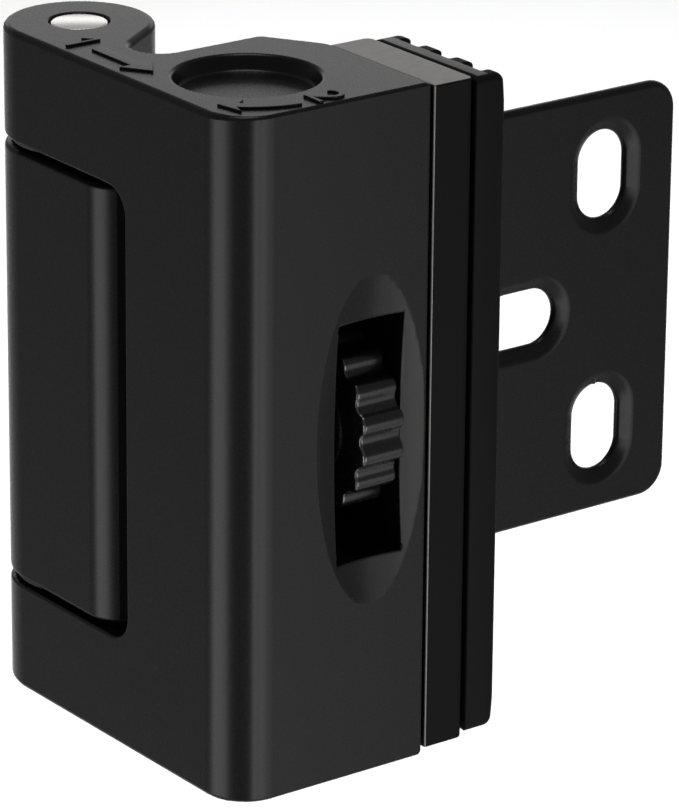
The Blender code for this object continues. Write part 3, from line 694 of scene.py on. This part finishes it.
def makeBracket():
    s = bracketShape
    low, high = (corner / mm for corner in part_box("base_bracket"))
    front, end, top = low.y, high.y, high.z
    px, py = bodyShape["pin"]
    thick, near, barrel = s["thickness"], s["frontCorner"], s["barrelRadius"]
    turn = math.radians(s["cornerTurn"])
    bracket = pen("bracket_casting", s["cornerFrom"], front)
    penArc((s["cornerFrom"], front + near), s["cornerTurn"], 2)
    # a straight slope from the corner to the leg's outer face
    across = thick - s["cornerFrom"] - near * math.sin(turn)
    slopeEnd = front + near * (1 - math.cos(turn)) + across * math.tan(turn)
    penLine(across, across * math.tan(turn))
    penLine(0, end - slopeEnd)
    penLine(-thick, 0)
    penLine(0, py + barrel - end)
    penLine(px, 0)
    penArc((px, py), 180, 3)
    penClose(bracket)
    roundCorner(bracket, thick, slopeEnd, s["slopeRound"])
    drawUp(bracket, -top, top)
    roundEdges(bracket, s["plateCorner"], 20, lambda co, way: abs(way.x) > 0.9 and abs(co.y - end) < close)

    radius, travel = s["pinSlot"]
    pinSlot = roundBar("pin slot tool", radius, (px, py, -top - overrun), (px, py, top + overrun))
    pullApart(pinSlot, 0, px, travel / 2)
    pickAll(pinSlot)
    bpy.ops.transform.translate(value=(travel / 2 * mm, 0, 0))
    bpy.ops.object.mode_set(mode="OBJECT")
    tools = [pinSlot]
    boreRadius, rise = s["springBore"]
    edge = s["legEdge"]
    for sign in (1, -1):
        tools.append(roundBar("spring bore tool", boreRadius, (px, py, sign * rise),
                              (thick + overrun, py, sign * rise)))
        # what the leg's long edge loses: a square bar less the round that stays
        corner = block("leg edge tool", (thick - edge, front - overrun, sign * top - edge),
                       (thick + edge, s["legEdgeEnd"], sign * top + edge))
        middle = sign * (top - edge)
        carve(corner, roundBar("edge round tool", edge, (thick - edge, front - 2 * overrun, middle),
                               (thick - edge, end, middle), 128))
        tools.append(corner)
    rim, depth = s["sink"]
    floor = thick - depth
    for y, z, axis in s["screwSlots"]:
        through = roundBar("slot tool", s["slotRadius"], (-overrun, y, z), (floor + close / 2, y, z))
        sunk = roundBar("sink tool", s["slotRadius"], (floor, y, z), (thick + overrun, y, z),
                        radiusTwo=s["slotRadius"] + rim / depth * (depth + overrun))
        for tool in (through, sunk):
            pullApart(tool, axis, (0, y, z)[axis], s["slotReach"])
            tools.append(tool)
    carve(bracket, *tools)
    tidyMesh(bracket)

    def onHoles(co, way):
        onScrewSlots = s["plateFrom"] < co.y < end - 1 and abs(co.z) < top - 1
        pastSlot = max(0, abs(co.x - px - travel / 2) - travel / 2)
        return onScrewSlots or math.hypot(pastSlot, co.y - py) < radius + close

    def onBlock(co, way):
        return co.x > px + s["finerFrom"] and co.y < s["legEdgeEnd"] and abs(co.z) > top - close

    def onEdgeEnd(co, way):
        return abs(co.y - s["legEdgeEnd"]) < close

    softEdges(bracket, s["softEdge"], limit=20, finer=((onHoles, 0.5), (onBlock, 0.8), (onEdgeEnd, 0)))
    finishPiece(bracket, "base", "black_coat", powderCoat, "base_bracket")
    # painted shade: the block's walls that stand deep in the body's window get the darker, duller coat where
    # shade falls
    sideways, upwards = s["shadedWallsTurn"]
    secondFinish(bracket, paintedShadeCoat, lambda co, normal: co.y < s["shadedWallsTo"] and px < co.x < thick - close
                 and (abs(normal.z) > upwards or normal.x > sideways))


makeBracket()
print("bracket made")


# hinge pin: turned and ground, its ends faced off and rounded at the rim
pinShape = {"rim": 0.3}


def makeHingePin():
    s = pinShape
    low, high = (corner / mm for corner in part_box("hinge_pin"))
    px, py = bodyShape["pin"]
    radius, top = (high.x - low.x) / 2, high.z
    pin = roundBar("hinge_pin_ground", radius, (px, py, -top), (px, py, top))
    roundEdges(pin, s["rim"], 3, lambda co, normal: abs(normal.z) > 0.9, "FACE")
    bpy.ops.object.shade_smooth_by_angle(angle=math.radians(35))
    finishPiece(pin, "body", "bright_steel", groundSteel, "hinge_pin")


makeHingePin()
print("hinge pin made")


# thumb wheel: round lobes all the way round, with a stepped hub
wheelShape = {
    "lobes": 16,
    "lobeRadius": 1.2,
    "valleyRadius": 1.2,
    "rimRound": 0.4,
    "hub": (6.0, 0.35),      # radius, and how far it stands out
    "boss": (4.6, 1.85),
    "bore": 3.9,
}


def makeWheel():
    s = wheelShape
    low, high = (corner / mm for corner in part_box("adjuster_wheel"))
    x, back = bodyShape["wheelX"], high.y
    front = low.y + s["boss"][1]
    half = math.pi / s["lobes"]
    lobe, dip = s["lobeRadius"], s["valleyRadius"]
    middle = high.z - lobe
    dipMiddle = middle * math.cos(half) + math.sqrt((lobe + dip) ** 2 - (middle * math.sin(half)) ** 2)
    lean = math.atan2(dipMiddle * math.sin(half), dipMiddle * math.cos(half) - middle)
    # drawn lying flat about the origin, round lobe and round dip in turn, then stood up on the wheel's axis
    start = Vector((middle + lobe * math.cos(lean), -lobe * math.sin(lean)))
    start.rotate(Matrix.Rotation(half, 2))
    wheel = pen("thumb_wheel", *start)
    lobeTurn, dipTurn = math.degrees(2 * lean), math.degrees(2 * (half - lean))
    for k in range(s["lobes"]):
        angle = (2 * k + 1) * half
        penArc((middle * math.cos(angle), middle * math.sin(angle)), lobeTurn, step=10)
        angle += half
        penArc((dipMiddle * math.cos(angle), dipMiddle * math.sin(angle)), dipTurn, step=10)
    penClose(wheel)
    drawUp(wheel, 0, back - front)
    onlySelect(wheel)
    wheel.rotation_euler = (math.radians(90), 0, 0)
    wheel.location = Vector((x, back, 0)) * mm
    settle()
    softEdges(wheel, s["rimRound"], segments=4, limit=60, shade=40)
    hubRadius, hubStep = s["hub"]
    bossRadius, bossStep = s["boss"]
    hub = roundBar("hub tool", hubRadius, (x, front - hubStep, 0), (x, front + overrun, 0))
    boss = roundBar("boss tool", bossRadius, (x, front - bossStep, 0), (x, front + overrun, 0))
    carve(wheel, hub, boss, operation="UNION")
    boreFront = front - bossStep - overrun
    carve(wheel, roundBar("bore tool", s["bore"], (x, boreFront, 0), (x, back + overrun, 0)))
    bpy.ops.object.shade_smooth_by_angle(angle=math.radians(40))
    finishPiece(wheel, "wheel", "black_wheel", satinAbs, "adjuster_wheel")
    secondFinish(wheel, polishedAbs, lambda co, normal: -0.97 < normal.y < -0.2
                 and co.y < front + s["rimRound"] and math.hypot(co.x - x, co.z) > hubRadius + 1)


makeWheel()
print("thumb wheel made")


# pad carrier: a sawn length of rounded bar, anodised black
carrierShape = {
    "nearRound": 0.2,
    "farRound": 0.9,
    "endRound": 0.22,
    "guideHole": (2.1, 3.1),       # radius and depth
    "spindleHole": (3.1, 0.6),     # radius, and what is left behind it
}


def makeCarrier():
    s = carrierShape
    low, high = (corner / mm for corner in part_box("pad_carrier"))
    carrier = block("carrier_bar", low, high)
    for y, width in ((low.y, s["nearRound"]), (high.y, s["farRound"])):
        roundEdges(carrier, width, 6, lambda co, way: abs(way.z) > 0.9 and abs(co.y - y) < close)
    x, rise = bodyShape["wheelX"], bodyShape["guideRise"]
    radius, wall = s["spindleHole"]
    tools = [roundBar("spindle hole tool", radius, (x, low.y - overrun, 0), (x, high.y - wall, 0), 64)]
    radius, depth = s["guideHole"]
    for z in (-rise, rise):
        tools.append(roundBar("guide hole tool", radius, (x, low.y - overrun, z), (x, low.y + depth, z), 64))
    carve(carrier, *tools)
    tidyMesh(carrier)
    softEdges(carrier, s["endRound"], segments=3, limit=40)
    finishPiece(carrier, "pad", "black_carrier", anodised, "pad_carrier")
    # the sawn ends get their lighter finish with its painted sheen, and the round of one long edge gets it
    # too as a painted highlight
    highlightReach = s["nearRound"] + close / 10
    secondFinish(carrier, sawnEndAndPaintedSheen, lambda co, normal: abs(normal.z) > 0.9 or
                 (co.x > high.x - highlightReach and co.y < low.y + highlightReach and 0.2 < normal.x < 0.98))


makeCarrier()
print("carrier made")


# door pad: moulded rubber with four round-topped ribs along its length
padShape = {
    "ribs": 4,
    "ribWidth": 1.9,
    "base": 2.0,                     # thickness under the ribs
    "ribRound": 0.6,
    "footRound": 0.25,
    "endRounds": (1.2, 0.9, 0.6),    # on the ends: over the ribs, at the sides and at the front
    "frontRound": 0.3,
    "seat": (1.0, 0.05),             # how far the seat is set in from the edges, and its gap to the carrier
}


def makePad():
    s = padShape
    low, high = (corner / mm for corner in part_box("door_pad"))
    pitch = (high.x - low.x - s["ribWidth"]) / (s["ribs"] - 1)
    foot = low.y + s["base"]
    pad = pen("ribbed_pad", low.x, low.y)
    penLine(high.x - low.x, 0)
    penLine(0, high.y - low.y)
    for k in range(s["ribs"]):
        penLine(-s["ribWidth"], 0)
        if k < s["ribs"] - 1:
            penLine(0, foot - high.y)
            penLine(s["ribWidth"] - pitch, 0)
            penLine(0, high.y - foot)
    penClose(pad)
    for k in range(s["ribs"]):
        left = low.x + k * pitch
        right = left + s["ribWidth"]
        roundCorner(pad, left, high.y, s["ribRound"], 8)
        roundCorner(pad, right, high.y, s["ribRound"], 8)
        if k > 0:
            roundCorner(pad, left, foot, s["footRound"], 4)
        if k < s["ribs"] - 1:
            roundCorner(pad, right, foot, s["footRound"], 4)
    for x in (low.x, high.x):
        roundCorner(pad, x, low.y, s["frontRound"], 4)
    drawUp(pad, low.z, high.z)

    # the moulding's rounded ends, as a block that the ribbed length is cut down to
    ends = block("pad end tool", low, high)
    overRibs, atSides, atFront = s["endRounds"]
    roundEdges(ends, overRibs, 10, lambda co, way: abs(way.x) > 0.9 and co.y > high.y - close)
    # each end's outline, but for the long edges that run from end to end
    roundEdges(ends, atSides, 6, lambda co, way: (co.x < low.x + close / 10 or co.x > high.x - close / 10)
               and abs(co.z) > high.z - overRibs - close / 10 and abs(way.x) < 0.1
               and (abs(way.z) < 0.999 or co.y > high.y - 1))
    roundEdges(ends, atFront, 5, lambda co, way: abs(way.x) > 0.9 and co.y < low.y + close)
    carve(pad, ends, operation="INTERSECT")

    # a low step on the front, so that no light shows between pad and carrier
    inset, gap = s["seat"]
    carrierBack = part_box("pad_carrier")[1].y / mm
    carve(pad, block("pad seat tool", (low.x + inset, carrierBack + gap, low.z + inset),
                     (high.x - inset, low.y + atFront, high.z - inset)), operation="UNION")
    # a cut round the ribs' feet, where the ends' painted sheen stops
    pickAll(pad)
    bpy.ops.mesh.bisect(plane_co=(0, foot * mm, 0), plane_no=(0, 1, 0))
    bpy.ops.object.mode_set(mode="OBJECT")
    bpy.ops.object.shade_smooth_by_angle(angle=math.radians(30))
    finishPiece(pad, "pad", "black_rubber", rubber, "door_pad")
    # painted sheen: the flat ends below the ribs get the lighter cut rubber
    secondFinish(pad, cutRubberWithPaintedSheen, lambda co, normal: abs(normal.z) > 0.99 and co.y < foot)


makePad()
print("door pad made")


# adjuster spindle: a bolt with its hexagon head in the carrier; rings stand for its thread of 1 mm pitch
spindleShape = {
    "radius": 3.0,
    "pitch": 1.0,
    "depth": 0.55,
    "crest": 0.12,
    "head": 5.2,
    "headThick": 2.0,
    "headOverlap": 0.2,      # how far the shank runs into the head
    "plain": 2.0,            # length without thread
    "sides": 48,
}


def makeSpindle():
    s = spindleShape
    low, high = (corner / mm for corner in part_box("adjuster_spindle"))
    x, radius, flank = bodyShape["wheelX"], s["radius"], (s["pitch"] - s["crest"]) / 2
    spindle = pen("threaded_spindle", x, low.y)
    penLine(radius - s["depth"], 0)
    turns = int((high.y - s["headThick"] - s["plain"] - low.y) / s["pitch"])
    for k in range(turns):
        penLine(s["depth"], flank)
        penLine(0, s["crest"])
        if k < turns - 1:
            penLine(-s["depth"], flank)
    reach = low.y + turns * s["pitch"] - flank
    penLine(0, high.y - s["headThick"] + s["headOverlap"] - reach)
    penLine(-radius, 0)
    pickAll(spindle, "VERT")
    bpy.ops.mesh.spin(steps=s["sides"], angle=math.radians(360), center=(x * mm, 0, 0), axis=(0, 1, 0))
    bpy.ops.mesh.select_all(action="SELECT")
    bpy.ops.mesh.remove_doubles(threshold=mm / 500)
    bpy.ops.mesh.select_all(action="SELECT")
    bpy.ops.mesh.normals_make_consistent(inside=False)
    bpy.ops.object.mode_set(mode="OBJECT")
    carve(spindle, roundBar("hexagon head", s["head"], (x, high.y - s["headThick"], 0), (x, high.y, 0), 6),
          operation="UNION")
    bpy.ops.object.shade_smooth_by_angle(angle=math.radians(20))
    finishPiece(spindle, "pad", "bright_steel", groundSteel, "adjuster_spindle")


makeSpindle()
print("spindle made")


# stop screws: short socket screws that close the spring bores
stopShape = {"socket": 1.9, "socketDepth": 1.6, "chamfer": 0.25}


def makeStopScrews():
    s = stopShape
    for side in ("upper", "lower"):
        node = "stop_screw_" + side
        low, high = (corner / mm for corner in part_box(node))
        y, z, radius = (low.y + high.y) / 2, (low.z + high.z) / 2, (high.z - low.z) / 2
        screw = roundBar("socket_stop_screw_" + side, radius, (low.x, y, z), (high.x, y, z), 64)
        floor = high.x - s["socketDepth"]
        carve(screw, roundBar("socket tool", s["socket"], (floor, y, z), (high.x + overrun, y, z), 6))
        softEdges(screw, s["chamfer"], segments=2, limit=50)
        finishPiece(screw, "base", "dark_steel", blackenedSteel, node)


makeStopScrews()
print("stop screws made")


# return springs: wound wire, pressed together by the plungers as the lock is pulled out
springShape = {"wire": 0.3, "turns": 7, "stepsPerTurn": 24, "wireSides": 12}


def makeSprings():
    s = springShape
    wire = s["wire"]
    for side in ("upper", "lower"):
        node = "return_spring_" + side
        low, high = (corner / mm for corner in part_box(node))
        radius, length = (high.y - low.y) / 2 - wire, high.x - low.x
        bpy.ops.object.select_all(action="DESELECT")
        bpy.ops.mesh.primitive_circle_add(vertices=s["wireSides"], radius=wire * mm, fill_type="NOTHING",
                                          location=((low.x + wire) * mm, radius * mm, 0))
        settle()
        spring = nameIt("coil_spring_" + side)
        winding = spring.modifiers.new("winding", "SCREW")
        winding.axis = "X"
        winding.angle = math.radians(360 * s["turns"])
        winding.screw_offset = (length - 2 * wire) * mm
        winding.steps = winding.render_steps = s["turns"] * s["stepsPerTurn"]
        applyAll(spring)
        pickAll(spring, "VERT")
        bpy.ops.mesh.fill_holes(sides=0)
        bpy.ops.mesh.select_all(action="SELECT")
        bpy.ops.mesh.normals_make_consistent(inside=False)
        middle = Vector((0, low.y + high.y, low.z + high.z)) / 2
        bpy.ops.transform.translate(value=middle * mm)
        bpy.ops.object.mode_set(mode="OBJECT")
        bpy.ops.object.shade_smooth_by_angle(angle=math.radians(50))
        finishPiece(spring, "base", "dark_steel", blackenedSteel, node)
        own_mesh(spring)


makeSprings()
print("return springs made")


# camera: the photograph's viewing angle
cameraView = {
    "place": (428.986, -355.928, 192.661),
    "turn": (69.7275, -0.4901, 53.4477),
    "lens": 231.37,
    "sensor": 36,
    "nearest": 10,
}


def makeCamera():
    data = bpy.data.cameras.new("photo camera")
    data.lens = cameraView["lens"]
    data.sensor_width = cameraView["sensor"]
    data.clip_start = cameraView["nearest"] * mm
    camera = bpy.data.objects.new("photo camera", data)
    camera.location = Vector(cameraView["place"]) * mm
    camera.rotation_euler = [math.radians(a) for a in cameraView["turn"]]
    bpy.context.scene.collection.objects.link(camera)
    bpy.context.scene.camera = camera


# studio: a pale floor well below the lock, which hangs free as in the photograph, and soft lamps round it
studio = {
    "floorColour": "#f0f0f0",
    "floorSize": 12000,
    "floorDrop": 450,
    "worldColour": "#ffffff",
    "worldStrength": 0.29,
    "middle": (0, -45, 0),      # the lamps stand round this place and shine at it
    # each lamp's name, azimuth and elevation, distance, width, height, brightness
    "lamps": (
        ("overhead panel", (-40, 88), 1500, 700, 700, 7.4),
        ("back panel", (143, 14), 1200, 1300, 300, 1.05),
        ("left panel", (-94, -21), 700, 390, 420, 5.4),
        ("left strip", (-114, -21), 700, 130, 420, 1.5),
        ("left strip edge", (-72, -21), 700, 130, 420, 1.8),
        ("right strip inner", (-12, -21), 700, 100, 480, 8.0),
        ("right strip link", (-4, -21), 700, 100, 480, 2.5),
        ("right strip outer", (4, -21), 700, 100, 480, 6.0),
        ("right strip edge", (12, -21), 700, 100, 480, 3.4),
        ("side strip", (25, -21), 700, 230, 480, 2.3),
        ("side panel", (38, -21), 800, 560, 480, 0.2),
    ),
    # shines straight down on the floor behind the lock, clear of the lock itself
    "floorLamp": {
        "azimuth": 143,
        "reach": 1305,
        "height": 1050,
        "size": 1200,
        "spread": 70,
        "brightness": 1.2,
    },
}


def makeLamp(name, place, way, width, height, brightness):
    # a soft box that shines against the given direction; its face is plain white at brightness 1
    data = bpy.data.lights.new(name, "AREA")
    data.shape = "RECTANGLE"
    data.size, data.size_y = width * mm, height * mm
    data.energy = brightness * math.pi * data.size * data.size_y
    lamp = bpy.data.objects.new(name, data)
    lamp.location = place
    lamp.rotation_euler = way.to_track_quat("Z", "Y").to_euler()
    lamp.visible_camera = False
    bpy.context.scene.collection.objects.link(lamp)
    return lamp


def makeStudio():
    bpy.ops.object.select_all(action="DESELECT")
    bpy.ops.mesh.primitive_plane_add(size=studio["floorSize"] * mm,
                                     location=(0, 0, -studio["floorDrop"] * mm))
    floor = nameIt("studio_floor")
    made, shader = newFinish("matt paper floor", studio["floorColour"], 0.9, specular=0.1)
    floor.data.materials.append(made)
    world = bpy.data.worlds.new("studio world")
    world.use_nodes = True
    sky = world.node_tree.nodes["Background"]
    sky.inputs["Color"].default_value = linear(studio["worldColour"])
    sky.inputs["Strength"].default_value = studio["worldStrength"]
    bpy.context.scene.world = world
    middle = Vector(studio["middle"]) * mm
    for name, (azimuth, elevation), distance, width, height, brightness in studio["lamps"]:
        around, up = math.radians(azimuth), math.radians(elevation)
        way = Vector((math.cos(up) * math.cos(around), math.cos(up) * math.sin(around), math.sin(up)))
        makeLamp(name, middle + way * distance * mm, way, width, height, brightness)
    s = studio["floorLamp"]
    around = math.radians(s["azimuth"])
    place = Vector((math.cos(around) * s["reach"], math.sin(around) * s["reach"], s["height"])) * mm
    lamp = makeLamp("floor lamp", place, Vector((0, 0, 1)), s["size"], s["size"], s["brightness"])
    lamp.data.spread = math.radians(s["spread"])


makeCamera()
makeStudio()
bpy.context.scene.view_settings.view_transform = "Standard"
print("studio made")

# frame nodes that stay as they are take the finishes above
nodeFinishes = {
    "guide_pin_upper": groundSteel, "guide_pin_lower": groundSteel,
    "guide_bush_upper": nylon, "guide_bush_lower": nylon, "threaded_insert": brass,
    "wheel_washer": blackenedSteel, "thrust_washer_upper": nylon, "thrust_washer_lower": nylon,
    "spring_plunger_upper": brass, "spring_plunger_lower": brass,
}
for nodeName, finish in nodeFinishes.items():
    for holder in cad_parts[nodeName].material_slots:
        holder.material = finish
